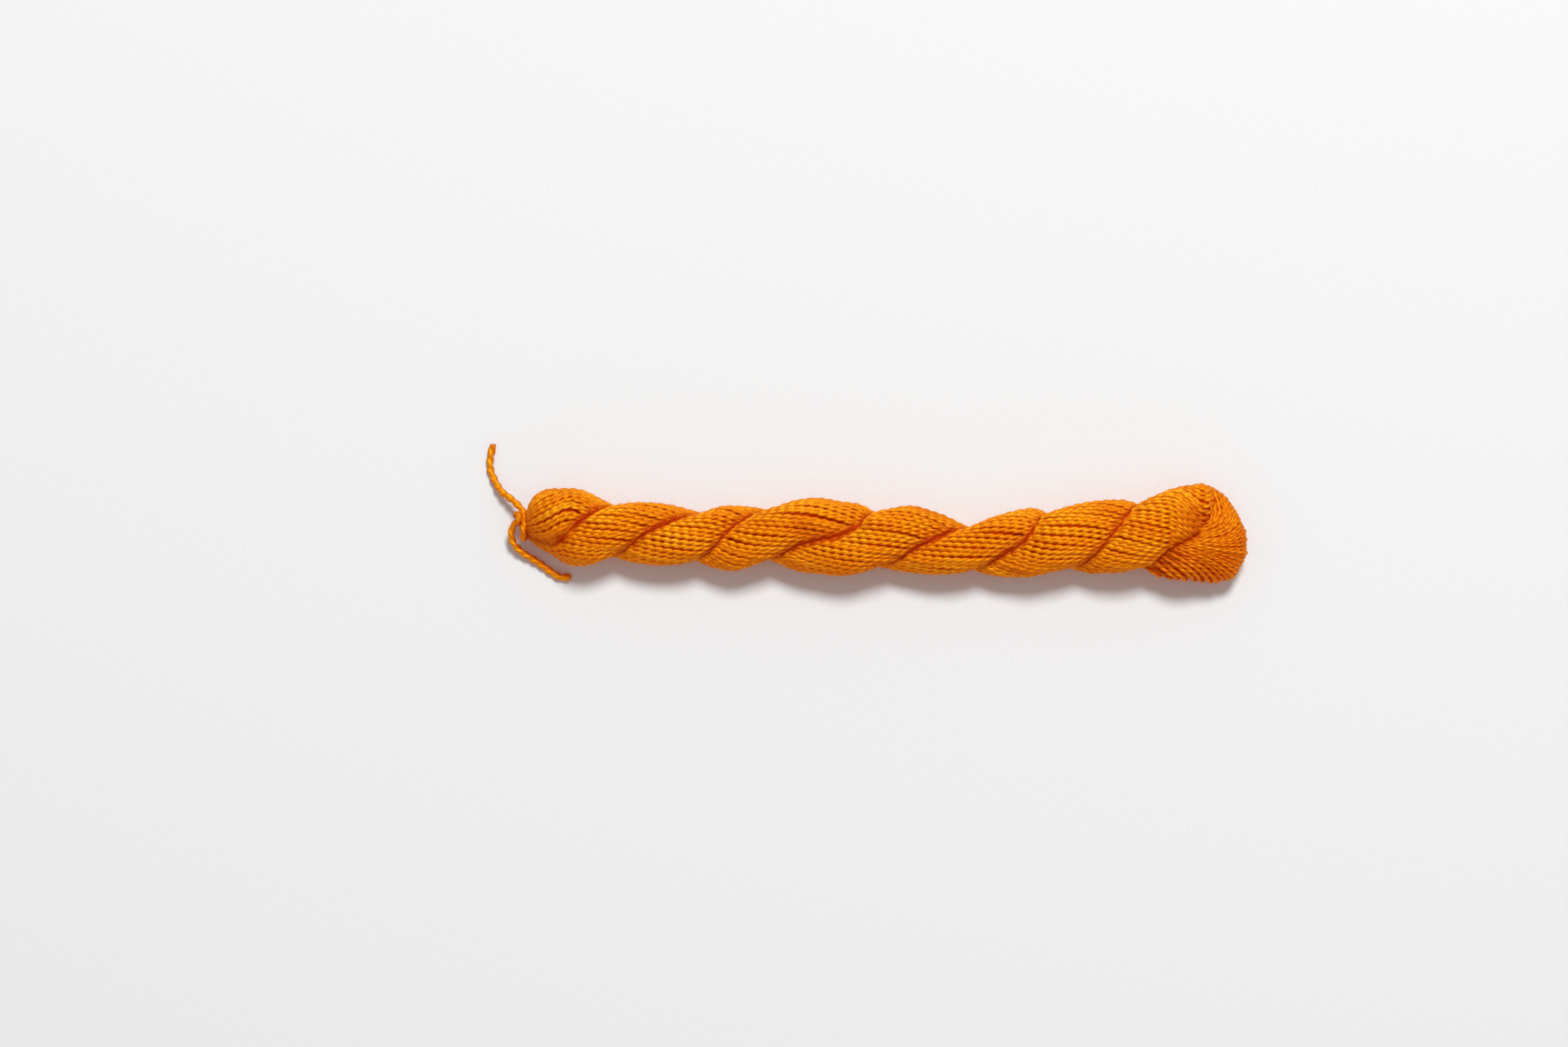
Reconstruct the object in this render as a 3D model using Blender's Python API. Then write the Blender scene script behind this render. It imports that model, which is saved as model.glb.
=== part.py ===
"""A hank of silk thread: one long loop folded in two, its two legs laid up round each other in about four
turns. The fold is the round knob at the right end. At the left end the legs are gathered and held by a tie,
whose knot lies against the gathered end and whose two free ends lie on the table.

Metres, +Z up. The hank lies along X with its lowest flat spots at z = 0. The tables are in millimetres, and
BOX_MIDDLE is the middle of the hank's box in them, which the finished part has at its origin."""

import math

import bmesh
import bpy
import numpy as np

MM = 0.001
BOX_MIDDLE = (0.25, -0.2)

HANK_START = -104.9
HANK_END = 105.4
START_CAP = 9.0
END_CAP = 11.0
START_CAP_STEPS = 8
END_CAP_STEPS = 10
SECTION_STEP = 2.4
POINTS_PER_LEG = 22

GROOVE_DEPTH = 2.3
GROOVE_WIDTH_DEG = 13.0
GROOVE_FADE_START = 89.0
GROOVE_FADE_END = 97.0

TIE_DIAMETER = 1.9
TIE_POINT_STEP = 4.0
KNOT_CENTRE = (-106.62, 3.5, 5.6)
KNOT_RADII = (1.55, 2.0, 1.7)
KNOT_RIDGE = 0.16
KNOT_WRAPS = 3

# A row for each section: its place along the hank, the middle line's place across, the middle line's height,
# the radius of one leg, the reach from the middle line to a leg's outer side, and height over width.
SECTION_COLUMNS = ("along", "across", "height", "radius", "reach", "flatness")
SECTIONS = (
    (-104.9, 0.8, 6.2, 1.4, 1.5, 1.00),
    (-104.2, 2.0, 6.3, 3.5, 3.8, 0.96),
    (-103.2, 2.9, 6.5, 5.2, 5.7, 0.92),
    (-101.0, 3.4, 6.9, 6.9, 8.2, 0.88),
    (-98.0, 3.1, 7.2, 7.8, 10.0, 0.86),
    (-95.0, 2.4, 7.5, 8.2, 11.0, 0.86),
    (-90.0, 1.5, 7.8, 8.3, 11.4, 0.87),
    (-85.0, 1.0, 8.0, 8.0, 11.0, 0.88),
    (-78.6, 0.5, 8.3, 7.5, 9.8, 0.90),
    (-68.4, -0.3, 8.3, 7.2, 9.3, 0.92),
    (-54.4, -1.2, 8.3, 7.1, 9.3, 0.92),
    (-44.4, -1.6, 8.3, 7.2, 9.7, 0.92),
    (-34.1, -0.6, 8.5, 7.4, 10.0, 0.92),
    (-20.4, -0.9, 8.8, 8.2, 11.3, 0.88),
    (-11.7, -1.9, 8.8, 8.3, 11.1, 0.88),
    (-2.2, -2.0, 8.6, 8.1, 10.6, 0.88),
    (6.8, -2.0, 8.4, 7.5, 10.1, 0.90),
    (14.7, -3.2, 8.2, 6.9, 9.3, 0.92),
    (24.2, -4.6, 8.0, 6.4, 8.7, 0.94),
    (33.1, -3.9, 8.3, 7.0, 9.5, 0.92),
    (41.6, -2.9, 8.6, 7.8, 10.1, 0.90),
    (50.3, -2.2, 8.8, 8.3, 10.5, 0.88),
    (66.1, -1.1, 8.8, 8.8, 11.0, 0.86),
    (74.8, -0.9, 8.8, 9.4, 11.8, 0.82),
    (85.0, -0.5, 8.2, 10.6, 13.8, 0.74),
    (92.0, -0.1, 7.6, 13.2, 14.5, 0.56),
    (94.5, -0.6, 7.2, 13.9, 14.2, 0.51),
    (97.5, -1.5, 6.8, 13.0, 13.1, 0.50),
    (99.5, -2.3, 6.5, 11.8, 11.9, 0.51),
    (101.0, -2.8, 6.3, 10.5, 10.6, 0.52),
    (102.6, -3.2, 6.1, 8.2, 8.3, 0.55),
    (104.2, -3.4, 5.9, 5.0, 5.0, 0.66),
    (105.4, -3.6, 5.7, 1.5, 1.5, 0.90),
)

# The creases between the legs wind round the middle line. There are two, which cross the top in turn. A row is
# one half turn over the top: the places along the hank where the crease stands at each of CREASE_ANGLES, which
# are degrees from the far side over the top. The near side is 180, the top 90 and the far side 0.
CREASE_ANGLES = (180.0, 120.0, 90.0, 60.0, 0.0)
EVEN_CREASE = (
    (-55.4, -50.0, -47.2, -44.0, -34.6),
    (-0.9, 7.6, 12.3, 17.0, 24.2),
    (54.7, 61.7, 65.0, 68.4, 73.2),
)
ODD_CREASE = (
    (-79.0, -73.0, -69.0, -63.5, -53.3),
    (-33.8, -26.0, -15.5, -8.0, -3.2),
    (25.5, 33.3, 39.5, 42.8, 46.5),
)
# Both creases at the gathered end and at the fold, as place along the hank and whole angle turned.
EVEN_START = ((-104.9, 112.0), (-98.0, 116.0), (-94.0, 108.0), (-91.0, 91.0), (-85.6, 55.0), (-78.6, 0.0))
EVEN_END = ((83.0, -1180.0), (92.0, -1255.0), (105.4, -1260.0))
ODD_START = ((-104.9, 290.0), (-95.0, 286.0), (-88.0, 250.0))
ODD_END = ((75.4, -900.0), (81.4, -960.0), (88.2, -989.0), (91.9, -1007.0), (94.0, -1040.0), (96.5, -1072.0),
           (105.4, -1080.0))

# The middle line of each free end of the tie, from the knot to its cut tip: along, across, height.
UPPER_END = (
    (-105.75, 6.4, 5.5),
    (-106.7, 7.9, 5.2),
    (-109.0, 9.9, 4.3),
    (-111.6, 11.9, 3.0),
    (-113.6, 15.0, 1.8),
    (-114.9, 18.2, 1.1),
    (-115.0, 21.6, 0.97),
    (-114.2, 25.6, 0.97),
)
LOWER_END = (
    (-108.2, 1.35, 5.2),
    (-108.7, -0.7, 4.4),
    (-108.0, -3.2, 3.4),
    (-105.9, -5.6, 2.4),
    (-103.0, -7.5, 1.6),
    (-100.1, -9.5, 1.15),
    (-97.3, -11.5, 0.97),
    (-95.0, -12.9, 0.97),
    (-93.3, -13.2, 0.97),
    (-91.7, -12.8, 0.97),
)


def slopes(places, values):
    """The slope at each row, level at a peak, so that a curve through the rows never overshoots them."""
    steps = np.diff(places)
    rises = np.diff(values) / steps
    found = np.zeros(len(values))
    found[0], found[-1] = rises[0], rises[-1]
    for row in range(1, len(values) - 1):
        before, after = rises[row - 1], rises[row]
        if before * after > 0:
            weight_before = 2 * steps[row] + steps[row - 1]
            weight_after = steps[row] + 2 * steps[row - 1]
            found[row] = (weight_before + weight_after) / (weight_before / before + weight_after / after)
    return found


def smooth(places, values, at):
    """The smooth curve through (places, values), read at the places in at."""
    places, values, at = (np.asarray(each, float) for each in (places, values, at))
    tangents = slopes(places, values)
    row = np.clip(np.searchsorted(places, at) - 1, 0, len(places) - 2)
    width = places[row + 1] - places[row]
    t = np.clip((at - places[row]) / width, 0.0, 1.0)
    start = (1 + 2 * t) * (1 - t) ** 2 * values[row] + t * (1 - t) ** 2 * width * tangents[row]
    end = t * t * (3 - 2 * t) * values[row + 1] + t * t * (t - 1) * width * tangents[row + 1]
    return start + end


def section(column, at):
    """One column of SECTIONS at the places in at."""
    rows = np.array(SECTIONS)
    return smooth(rows[:, 0], rows[:, SECTION_COLUMNS.index(column)], at)


def crease(start, half_turns, first_turn, end, at):
    """The whole angle that a crease has turned to, in degrees, at the places in at."""
    knots = list(start)
    for number, row in enumerate(half_turns):
        turned = first_turn - 360.0 * number
        knots += [(place, turned + angle) for place, angle in zip(row, CREASE_ANGLES)]
    knots += list(end)
    places, angles = np.array(knots).T
    return smooth(places, angles, at)


def stations():
    """The places along the hank that get a section: closer together towards both rounded ends."""
    start_turn = np.linspace(0.0, math.pi / 2, START_CAP_STEPS + 1)
    start = HANK_START + START_CAP * (1 - np.cos(start_turn))
    end_turn = np.linspace(math.pi / 2, 0.0, END_CAP_STEPS + 1)
    end = HANK_END - END_CAP * (1 - np.cos(end_turn))
    count = round((end[0] - start[-1]) / SECTION_STEP)
    middle = np.linspace(start[-1], end[0], count + 1)[1:-1]
    return np.concatenate([start, middle, end])


def placed(point):
    """A point of the tables in metres, from the middle of the hank's box."""
    along, across, height = point
    return ((along - BOX_MIDDLE[0]) * MM, (across - BOX_MIDDLE[1]) * MM, height * MM)


def ring(along):
    """The outline of both legs at one place along the hank, with a point on each crease."""
    even = crease(EVEN_START, EVEN_CREASE, -360.0, EVEN_END, along)
    odd = crease(ODD_START, ODD_CREASE, 0.0, ODD_END, along)
    across, height, radius, reach, flatness = (section(name, along) for name in SECTION_COLUMNS[1:])
    offset = reach - radius
    fade = np.clip((GROOVE_FADE_END - along) / (GROOVE_FADE_END - GROOVE_FADE_START), 0.0, 1.0)
    end_fade = min(1.0, radius / section("radius", -68.4))
    points = []
    for low, high in ((even, odd), (odd, even + 360.0)):
        for number in range(POINTS_PER_LEG):
            share = number / POINTS_PER_LEG
            turn = math.radians(low + (high - low) * share)
            from_middle = math.radians(180.0 * abs(share - 0.5))
            leg = offset * math.cos(from_middle) + math.sqrt(radius**2 - (offset * math.sin(from_middle)) ** 2)
            to_crease = 90.0 - math.degrees(from_middle)
            groove = GROOVE_DEPTH * math.exp(-to_crease / GROOVE_WIDTH_DEG) * fade * end_fade
            out = leg - groove
            y = across + out * math.cos(turn)
            z = max(height + out * flatness * math.sin(turn), 0.0)
            points.append(placed((along, y, z)))
    return points


def finish(name):
    """The silk's look: a warm orange with a soft sheen."""
    silk = bpy.data.materials.new(name)
    silk.use_nodes = True
    shader = silk.node_tree.nodes["Principled BSDF"]
    shader.inputs["Base Color"].default_value = (0.80, 0.23, 0.01, 1.0)
    shader.inputs["Roughness"].default_value = 0.45
    shader.inputs["Metallic"].default_value = 0.0
    return silk


def add_mesh(name, mesh, silk):
    """An object of this mesh, shaded smooth, in the scene."""
    mesh.materials.append(silk)
    mesh.shade_smooth()
    piece = bpy.data.objects.new(name, mesh)
    bpy.context.scene.collection.objects.link(piece)
    return piece


def build_hank(silk):
    """Both legs as one closed solid: rings joined one to the next, and an end face at each end."""
    shape = bmesh.new()
    rings = [[shape.verts.new(point) for point in ring(along)] for along in stations()]
    around = len(rings[0])
    for left, right in zip(rings, rings[1:]):
        for number in range(around):
            following = (number + 1) % around
            shape.faces.new((left[number], left[following], right[following], right[number]))
    shape.faces.new(reversed(rings[0]))
    shape.faces.new(rings[-1])
    bmesh.ops.triangulate(shape, faces=shape.faces)
    bmesh.ops.recalc_face_normals(shape, faces=shape.faces)
    mesh = bpy.data.meshes.new("hank")
    shape.to_mesh(mesh)
    shape.free()
    return add_mesh("hank", mesh, silk)


def build_knot(silk):
    """The tie's knot: a small bead with the ridges of the thread wrapped round it."""
    shape = bmesh.new()
    bmesh.ops.create_icosphere(shape, subdivisions=3, radius=1.0)
    for vert in shape.verts:
        x, y, z = vert.co
        turn = math.atan2(z, x)
        ridge = 1.0 + KNOT_RIDGE * math.sin(KNOT_WRAPS * math.pi * y + turn) * (1 - y * y)
        vert.co = placed([centre + radius * ridge * part
                          for centre, radius, part in zip(KNOT_CENTRE, KNOT_RADII, (x, y, z))])
    mesh = bpy.data.meshes.new("tie_knot")
    shape.to_mesh(mesh)
    shape.free()
    return add_mesh("tie_knot", mesh, silk)


def build_tie_end(name, route, silk):
    """One free end of the tie: a round tube along the smooth curve through its route."""
    route = np.array(route)
    run = np.concatenate([[0.0], np.cumsum(np.linalg.norm(np.diff(route, axis=0), axis=1))])
    steps = max(2, math.ceil(run[-1] / TIE_POINT_STEP))
    at = np.linspace(0.0, run[-1], steps + 1)
    points = np.stack([smooth(run, route[:, axis], at) for axis in range(3)], axis=1)
    curve = bpy.data.curves.new(name, "CURVE")
    curve.dimensions = "3D"
    curve.bevel_depth = TIE_DIAMETER / 2 * MM
    curve.bevel_resolution = 2
    curve.use_fill_caps = True
    spline = curve.splines.new("POLY")
    spline.points.add(len(points) - 1)
    for spot, point in zip(spline.points, points):
        spot.co = (*placed(point), 1.0)
    curve.materials.append(silk)
    piece = bpy.data.objects.new(name, curve)
    bpy.context.scene.collection.objects.link(piece)
    return piece


def main():
    for old in list(bpy.data.objects):
        bpy.data.objects.remove(old, do_unlink=True)
    hank_silk = finish("hank_silk")
    tie_silk = finish("tie_silk")
    build_hank(hank_silk)
    build_knot(tie_silk)
    build_tie_end("tie_end_upper", UPPER_END, tie_silk)
    build_tie_end("tie_end_lower", LOWER_END, tie_silk)


main()
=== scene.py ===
"""The looks of a hank of silk thread: its two-ply threads, the tie that holds it, and its fine fibres."""
import math

import bpy
import numpy as np
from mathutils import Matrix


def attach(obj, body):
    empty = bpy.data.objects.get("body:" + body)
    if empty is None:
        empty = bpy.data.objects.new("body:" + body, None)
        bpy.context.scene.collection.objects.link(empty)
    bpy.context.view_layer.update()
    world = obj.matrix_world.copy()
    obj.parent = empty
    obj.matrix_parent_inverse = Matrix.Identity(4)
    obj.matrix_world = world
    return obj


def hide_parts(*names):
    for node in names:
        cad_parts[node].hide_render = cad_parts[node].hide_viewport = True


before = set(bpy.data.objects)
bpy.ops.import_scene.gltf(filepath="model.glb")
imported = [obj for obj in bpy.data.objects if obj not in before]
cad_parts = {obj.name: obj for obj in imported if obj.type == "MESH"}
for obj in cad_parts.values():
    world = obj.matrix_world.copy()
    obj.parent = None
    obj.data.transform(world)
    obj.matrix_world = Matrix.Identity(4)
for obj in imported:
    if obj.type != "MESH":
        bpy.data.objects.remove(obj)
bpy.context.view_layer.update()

# The tables are in millimetres, in the hank's own frame: along, across, height. BOX_MIDDLE is the middle of
# the hank's box in them, along and across, which lies at the model's origin.
MM = 0.001
BOX_MIDDLE = (0.25, -0.2)

# Camera: straight above, aimed so that one picture width takes in FRAME_WIDTH at FRAME_HEIGHT, which is about
# half the hank's height.
FRAME_WIDTH = 455.0
FRAME_MIDDLE = (-29.3, 2.6)
FRAME_HEIGHT = 8.0
CAMERA_HEIGHT = 1200.0
SENSOR_WIDTH = 36.0

# A row for each section: its place along the hank, the middle line's place across, the middle line's height,
# the radius of one leg, the reach from the middle line to a leg's outer side, and height over width.
SECTION_COLUMNS = ("along", "across", "height", "radius", "reach", "flatness")
SECTIONS = (
    (-105.8, 1.2, 6.3, 1.9, 2.0, 0.90),
    (-104.9, 1.3, 6.3, 2.0, 2.1, 0.95),
    (-104.2, 2.0, 6.3, 3.5, 3.8, 0.96),
    (-103.2, 2.9, 6.5, 5.2, 5.7, 0.92),
    (-101.0, 3.4, 6.9, 6.9, 8.2, 0.88),
    (-98.0, 3.1, 7.2, 7.8, 10.0, 0.86),
    (-95.0, 2.4, 7.5, 8.2, 11.0, 0.86),
    (-90.0, 1.5, 7.8, 8.3, 11.4, 0.87),
    (-85.0, 1.0, 8.0, 8.0, 11.0, 0.88),
    (-78.6, 0.5, 8.3, 7.5, 9.8, 0.90),
    (-68.4, -0.3, 8.3, 7.2, 9.3, 0.92),
    (-54.4, -1.2, 8.3, 7.1, 9.3, 0.92),
    (-44.4, -1.6, 8.3, 7.2, 9.7, 0.92),
    (-34.1, -0.6, 8.5, 7.4, 10.0, 0.92),
    (-20.4, -0.9, 8.8, 8.2, 11.3, 0.88),
    (-11.7, -1.9, 8.8, 8.3, 11.1, 0.88),
    (-2.2, -2.0, 8.6, 8.1, 10.6, 0.88),
    (6.8, -2.0, 8.4, 7.5, 10.1, 0.90),
    (14.7, -3.2, 8.2, 6.9, 9.3, 0.92),
    (24.2, -4.6, 8.0, 6.4, 8.7, 0.94),
    (33.1, -3.9, 8.3, 7.0, 9.5, 0.92),
    (41.6, -2.9, 8.6, 7.8, 10.1, 0.90),
    (50.3, -2.2, 8.8, 8.3, 10.5, 0.88),
    (66.1, -1.1, 8.8, 8.8, 11.0, 0.86),
    (74.8, -0.9, 8.8, 9.4, 11.8, 0.82),
    (85.0, -0.5, 8.2, 10.6, 13.8, 0.74),
    (92.0, -0.1, 7.6, 13.2, 14.5, 0.56),
    (94.5, -0.6, 7.2, 13.9, 14.2, 0.51),
    (97.5, -1.5, 6.8, 13.0, 13.1, 0.50),
    (99.5, -2.3, 6.5, 11.8, 11.9, 0.51),
    (101.0, -2.8, 6.3, 10.5, 10.6, 0.52),
    (102.6, -3.2, 6.1, 8.2, 8.3, 0.55),
    (104.2, -3.4, 5.9, 5.0, 5.0, 0.66),
    (105.4, -3.6, 5.7, 1.5, 1.5, 0.90),
)

# The two creases between the legs wind round the middle line and cross the top in turn. A row is one half
# turn over the top: the places along the hank where the crease stands at each of CREASE_ANGLES, in degrees
# from the far side over the top.
CREASE_ANGLES = (180.0, 120.0, 90.0, 60.0, 0.0)
EVEN_CREASE = (
    (-55.4, -50.0, -47.2, -44.0, -34.6),
    (-0.9, 7.6, 12.3, 17.0, 24.2),
    (54.7, 61.7, 65.0, 68.4, 73.2),
)
ODD_CREASE = (
    (-79.0, -73.0, -69.0, -63.5, -53.3),
    (-33.8, -26.0, -15.5, -8.0, -3.2),
    (25.5, 33.3, 39.5, 42.8, 46.5),
)

# Both creases at the gathered end and at the fold, as place along the hank and whole angle turned.
EVEN_START = ((-104.9, 146.0), (-101.0, 152.0), (-97.0, 150.0), (-93.1, 121.0), (-90.2, 91.0), (-85.6, 55.0),
              (-78.6, 0.0))
EVEN_END = ((83.0, -1180.0), (92.0, -1255.0), (105.4, -1260.0))
ODD_START = ((-104.9, 290.0), (-95.0, 286.0), (-88.0, 250.0))
ODD_END = ((75.4, -900.0), (81.4, -958.0), (85.7, -975.0), (89.9, -989.0), (93.5, -1007.0), (94.9, -1040.0),
           (97.0, -1072.0), (105.4, -1080.0))

# The tie's middle line, from the cut tip of its upper end, round the gathered end of the hank and through
# the knot, to the cut tip of its lower end: along, across, height. TIE_FULLNESS makes the twisted plies,
# hollows between them, as thick as the tie.
TIE_DIAMETER = 1.9
TIE_FULLNESS = 1.26
TIE_PITCH = 5.6
TIE_STEP = 0.4
TIE_UPPER = (
    (-114.2, 25.6, 0.97),
    (-115.0, 21.6, 0.97),
    (-114.9, 18.2, 1.1),
    (-113.6, 15.0, 1.8),
    (-111.6, 11.9, 3.0),
    (-109.0, 9.9, 4.3),
    (-106.7, 7.9, 5.2),
    (-105.4, 6.3, 5.5),
)
TIE_KNOT = (
    (-104.9, 4.2, 6.9),
    (-104.7, 2.3, 8.8),
    (-104.9, 0.2, 8.8),
    (-105.0, -1.4, 7.2),
    (-105.0, -1.5, 5.0),
    (-105.2, 0.4, 3.8),
    (-105.7, 2.6, 4.0),
    (-106.5, 4.1, 4.7),
    (-107.1, 5.1, 5.8),
    (-106.6, 5.2, 7.3),
    (-106.2, 4.1, 8.0),
    (-106.5, 3.0, 7.4),
    (-107.5, 2.5, 6.2),
)
TIE_LOWER = (
    (-108.2, 1.35, 5.2),
    (-108.7, -0.7, 4.4),
    (-108.0, -3.2, 3.4),
    (-105.9, -5.6, 2.4),
    (-103.0, -7.5, 1.6),
    (-100.1, -9.5, 1.15),
    (-97.3, -11.5, 0.97),
    (-95.0, -12.9, 0.97),
    (-93.3, -13.2, 0.97),
    (-91.7, -12.8, 0.97),
)

# Thread: two plies laid up with S twist, in millimetres. SECTION_ANGLES start in a valley between the plies.
# FLOOR_CLEARANCE is the least height of a thread's middle line.
THREAD_RADIUS = 0.78
PLY_OFFSET = 0.33
PLY_RADIUS = 0.50
TWIST_PITCH = 5.3
SECTION_ANGLES = (90, 108, 138, 180, 222, 252, 270, 288, 318, 360, 402, 432)
SECTION_LENGTH = 0.42
FLOOR_CLEARANCE = 0.84

# A leg's threads stand THREAD_SPACING apart round it. Their paths are worked out every STATION_STEP along
# the hank, and every END_STEP at its ends, from outlines of LEG_SAMPLES points, which start as ARC_POINTS on
# the outer side and CHORD_POINTS where the legs meet. DRIFT_DEPTH is how far under the leg's outer side its
# turn is reckoned, against which the threads drift.
THREADS_PER_LEG = 28
THREAD_SPACING = 1.42
STATION_STEP = 0.35
END_STEP = 0.12
LEG_SAMPLES = 320
ARC_POINTS = 161
CHORD_POINTS = 61
DRIFT_DEPTH = 1.2

# A leg's thread strays along the surface by each row of STRAYING, and off it by LIFTING from MEAN_LIFT: how
# far, and over what length.
STRAYING = ((0.32, 15.0), (0.12, 6.0))
LIFTING = (0.20, 10.0)
MEAN_LIFT = 0.02

# CORNER_ROUNDING rounds the edge where a leg's threads dive into a crease. From HUG_WIDTH before that edge
# they bunch up against it, sink by HUG_SINK for each millimetre, and go on for HUG_REACH such widths. The
# width shrinks with the outer arc where that is under HUG_FULL_ARC.
CORNER_ROUNDING = 1.1
HUG_WIDTH = 2.6
HUG_SINK = 0.07
HUG_REACH = 2.6
HUG_FULL_ARC = 24.0

# How far the threads sink towards the near side for each millimetre along, for each leg.
LEG_A_SLOPE = ((-105.0, 0.08), (-20.0, 0.08), (20.0, 0.03), (105.0, 0.03))
LEG_B_SLOPE = ((-105.0, 0.08), (-20.0, 0.08), (20.0, 0.03), (74.0, 0.05), (84.0, 0.22), (96.0, 0.30),
               (105.0, 0.30))

# The tied end: left of DRIFT_START the threads drift back by TIED_RISE for each millimetre. Left of
# GATHER_START they crowd together, and left of NEAR_TIE their creases are shallow.
DRIFT_START = -100.0
TIED_RISE = 0.45
GATHER_START = -93.0
NEAR_TIE = -87.0

# The fold end: the fold's own threads take over from leg a's at FOLD_TOP on the top and FOLD_UNDER on the
# underside. Leg a's sink by TUCK_DEPTH over their last TUCK_LENGTH there. From TURN_START on, leg b's reach
# further into the last crease, by PLUNGE, and bend down by KNUCKLE_RADIUS. None goes past TURN_END.
FOLD_TOP = 79.5
FOLD_UNDER = 87.0
TUCK_DEPTH = 2.2
TUCK_LENGTH = 5.0
TURN_START = 83.0
TURN_END = 98.5
PLUNGE = 4.5
KNUCKLE_RADIUS = 1.6

# Places of painted shade: along, across, half length, half width, amount.
SHADED_SPOTS = (
    (88.5, 4.5, 5.5, 4.0, 0.50),
    (-93.5, -1.8, 1.6, 1.2, 0.70),
    (-88.5, 2.5, 3.0, 1.6, 0.40),
    (-24.0, 2.5, 4.0, 2.5, 0.30),
)

# The painted crease shade at the edge where a thread dives and at the edge where it comes up: amount, and
# the length over which it fades.
DIVE_SHADE = (1.10, 2.2)
RISE_SHADE = (0.9, 1.0)

# The core fills the hank CORE_INSET inside its surface, so that no gap shows through between threads.
CORE_SPAN = (-105.7, 103.2)
CORE_SECTIONS = 260
CORE_STEPS = 24
CORE_INSET = 1.0
CORE_NOTCH = 4.2

# Loose fibres.
LOOSE_FIBRES = 4600
FIBRE_RADIUS = 0.028
FIBRE_RINGS = 5

# The fold is worked out every FOLD_STEP from FOLD_START to FOLD_END. Its threads stand FOLD_SPACING apart
# where they are widest apart, in an outer layer and, INNER_DEPTH under it, a second one between them. They
# start FOLD_TUCK before the guides, and pass the outline short of TIP_END.
FOLD_START = 70.0
FOLD_END = 105.4
FOLD_STEP = 0.2
FOLD_SPACING = 1.42
INNER_DEPTH = 1.0
FOLD_TUCK = (-2.0, 1.4)
TIP_END = 104.4

# The threads over the fold, each from under the last crease to the outline, as three places in plan: along
# and across at the crease, on the way, and at the outline.
FOLD_GUIDES = (
    (88.0, -1.1, 93.9, 3.9, 91.7, 14.5),
    (89.0, -1.6, 95.6, 5.2, 93.8, 13.9),
    (89.8, -1.9, 97.2, 5.2, 95.9, 12.6),
    (90.3, -2.1, 98.2, 4.5, 98.0, 11.3),
    (90.6, -2.4, 98.5, 3.1, 100.1, 9.2),
    (90.6, -2.7, 98.8, 1.6, 101.7, 7.1),
    (90.3, -2.9, 99.0, 0.2, 103.3, 4.5),
    (89.8, -3.2, 99.0, -1.1, 104.6, 2.3),
    (88.8, -3.2, 98.5, -2.1, 105.9, -0.0),
    (88.0, -3.5, 98.0, -3.2, 106.4, -2.1),
    (87.2, -3.7, 97.7, -4.4, 106.4, -4.5),
    (86.1, -4.0, 97.2, -5.6, 105.9, -7.1),
    (85.1, -4.2, 96.1, -7.0, 104.3, -10.0),
    (84.0, -4.8, 94.8, -8.2, 101.9, -12.9),
    (83.0, -5.3, 93.0, -9.3, 99.6, -15.1),
    (81.9, -5.8, 90.9, -10.3, 97.2, -15.8),
    (80.8, -6.5, 88.8, -11.1, 94.6, -16.1),
    (79.8, -7.1, 86.6, -11.6, 91.9, -15.8),
    (78.7, -7.9, 84.5, -12.2, 88.8, -15.6),
    (77.4, -8.7, 81.9, -12.3, 86.4, -14.3),
    (75.8, -10.0, 79.3, -12.7, 83.5, -14.3),
)


def slopes(places, values):
    """The slope at each row, level at a peak, so that a curve through the rows never overshoots them."""
    steps = np.diff(places)
    rises = np.diff(values) / steps
    found = np.zeros(len(values))
    found[0], found[-1] = rises[0], rises[-1]
    for row in range(1, len(values) - 1):
        before, after = rises[row - 1], rises[row]
        if before * after > 0:
            weight_before = 2 * steps[row] + steps[row - 1]
            weight_after = steps[row] + 2 * steps[row - 1]
            found[row] = (weight_before + weight_after) / (weight_before / before + weight_after / after)
    return found


def hermite(places, values, tangents, at):
    """The curve through (places, values) with these slopes, read at the places in at."""
    row = np.clip(np.searchsorted(places, at) - 1, 0, len(places) - 2)
    width = places[row + 1] - places[row]
    t = np.clip((at - places[row]) / width, 0.0, 1.0)
    start = (1 + 2 * t) * (1 - t) ** 2 * values[row] + t * (1 - t) ** 2 * width * tangents[row]
    end = t * t * (3 - 2 * t) * values[row + 1] + t * t * (t - 1) * width * tangents[row + 1]
    return start + end


def smooth(places, values, at):
    """The smooth curve through (places, values) that never overshoots them, read at the places in at."""
    places, values, at = (np.asarray(each, float) for each in (places, values, at))
    return hermite(places, values, slopes(places, values), at)


def flowing(places, values, at):
    """The curve through (places, values) whose slope at each row is the mean of its two sides'."""
    rises = np.diff(values) / np.diff(places)
    tangents = np.concatenate([[rises[0]], (rises[1:] + rises[:-1]) / 2, [rises[-1]]])
    return hermite(places, values, tangents, at)


def ease(values):
    """A smooth step from 0 to 1 as the values go from 0 to 1."""
    values = np.clip(values, 0.0, 1.0)
    return values * values * (3 - 2 * values)


def unit(vectors):
    """The vectors at length one."""
    return vectors / np.maximum(np.linalg.norm(vectors, axis=-1, keepdims=True), 1e-9)


def plan_cross(first, second):
    """The cross product of plan vectors."""
    return first[..., 0] * second[..., 1] - first[..., 1] * second[..., 0]


def noise_line(rng, at, wave):
    """A smooth random line from -1 to 1 with one free value for each wave along at."""
    low, high = at.min(), at.max()
    count = max(4, math.ceil((high - low) / wave) + 3)
    knots = np.linspace(low, high, count)
    return flowing(knots, rng.uniform(-1, 1, count), at)


def run_of(line):
    """How far along a line each of its points stands."""
    return np.concatenate([[0.0], np.cumsum(np.linalg.norm(np.diff(line, axis=0), axis=1))])


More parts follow.
